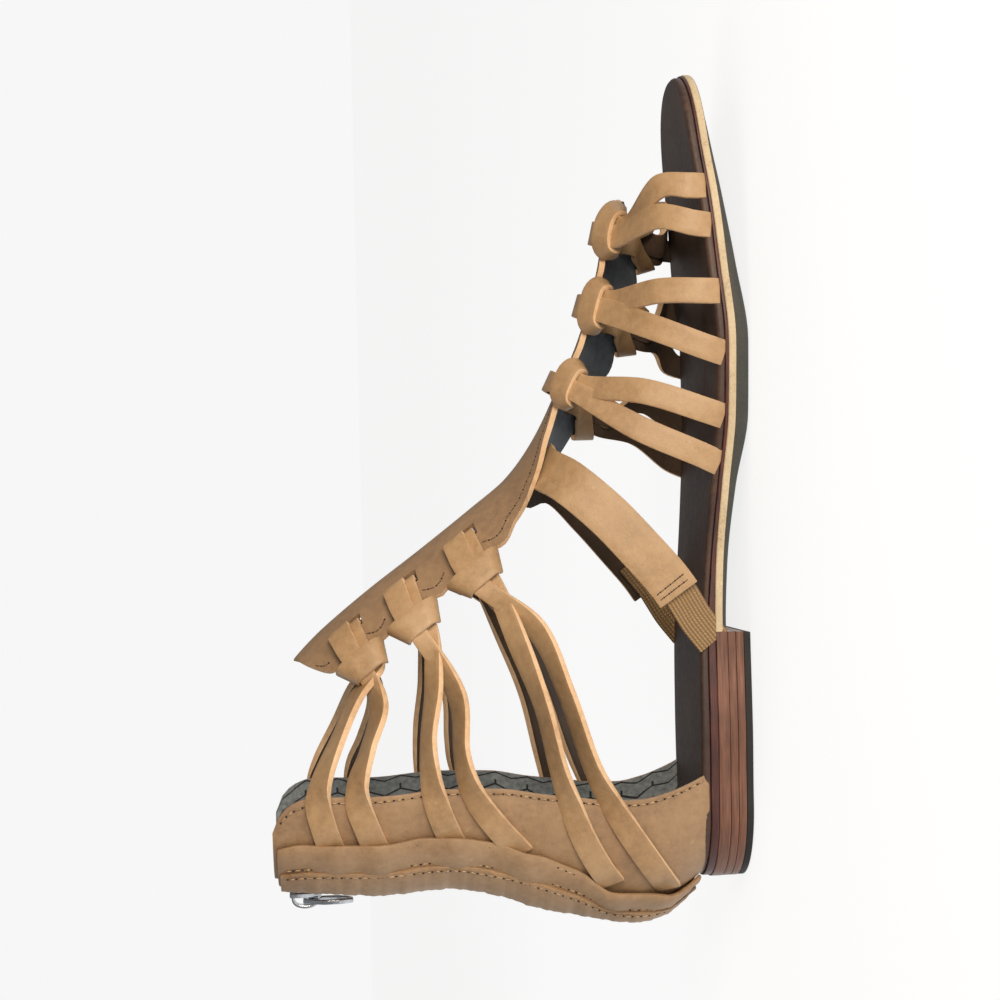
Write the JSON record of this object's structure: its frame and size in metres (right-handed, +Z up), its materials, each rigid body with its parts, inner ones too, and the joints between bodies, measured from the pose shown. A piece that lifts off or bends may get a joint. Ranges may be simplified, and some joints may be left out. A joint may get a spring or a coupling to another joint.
{
  "type": "gladiator sandal",
  "caption": "Left gladiator sandal: slotted centre plate with hitched straps, zipped back quarter, flat sole with a low stacked heel.",
  "frame": {"origin": "middle of the underside of the whole sandal, on the floor it stands on", "axes": "+X from heel to toe, +Y to the wearer's outer side, +Z up"},
  "size_m": [0.2666, 0.0826, 0.1484],
  "materials": {
    "outsole_rubber": "moulded, tan painted upper edge over dark grey",
    "midsole_board": "dark red-brown waxed edge",
    "footbed_leather": "smooth dark brown leather, burnished",
    "heel_stack": "brown stacked-leather look",
    "heel_rubber": "black moulded rubber",
    "plate_leather": "smooth tan leather with stitched edges",
    "strap_leather": "smooth tan leather, raw lighter edges",
    "elastic": "ribbed woven elastic",
    "quarter_leather": "smooth tan leather with stitched seams",
    "zip_tape": "woven brown tape with a coil",
    "zip_metal": "bright nickel plating"
  },
  "bodies": {
    "sandal": {"outsole": "outsole_rubber", "midsole": "midsole_board", "footbed": "footbed_leather", "heel_lift": "heel_stack", "top_piece": "heel_rubber", "centre_plate": "plate_leather", "strap_1_medial": "strap_leather", "strap_1_lateral": "strap_leather", "strap_2_medial": "strap_leather", "strap_2_lateral": "strap_leather", "strap_3_medial": "strap_leather", "strap_3_lateral": "strap_leather", "strap_4_medial": "strap_leather", "strap_4_lateral": "strap_leather", "strap_5_medial": "strap_leather", "strap_5_lateral": "strap_leather", "strap_6_medial": "strap_leather", "strap_6_lateral": "strap_leather", "instep_strap_medial": "strap_leather", "instep_strap_lateral": "strap_leather", "gore_medial": "elastic", "gore_lateral": "elastic", "back_quarter": "quarter_leather", "zip_band_medial": "quarter_leather", "zip_band_lateral": "quarter_leather", "zip_tape": "zip_tape", "zip_slider": "zip_metal"},
    "pull": {"zip_pull": "zip_metal"}
  },
  "joints": [
    {"name": "zip_pull_swing", "type": "hinge", "parent": "sandal", "child": "pull", "pos_m": [-0.1254, -0.00079, 0.139], "axis": [0, 1, 0], "range_deg": [-6, 150]}
  ]
}
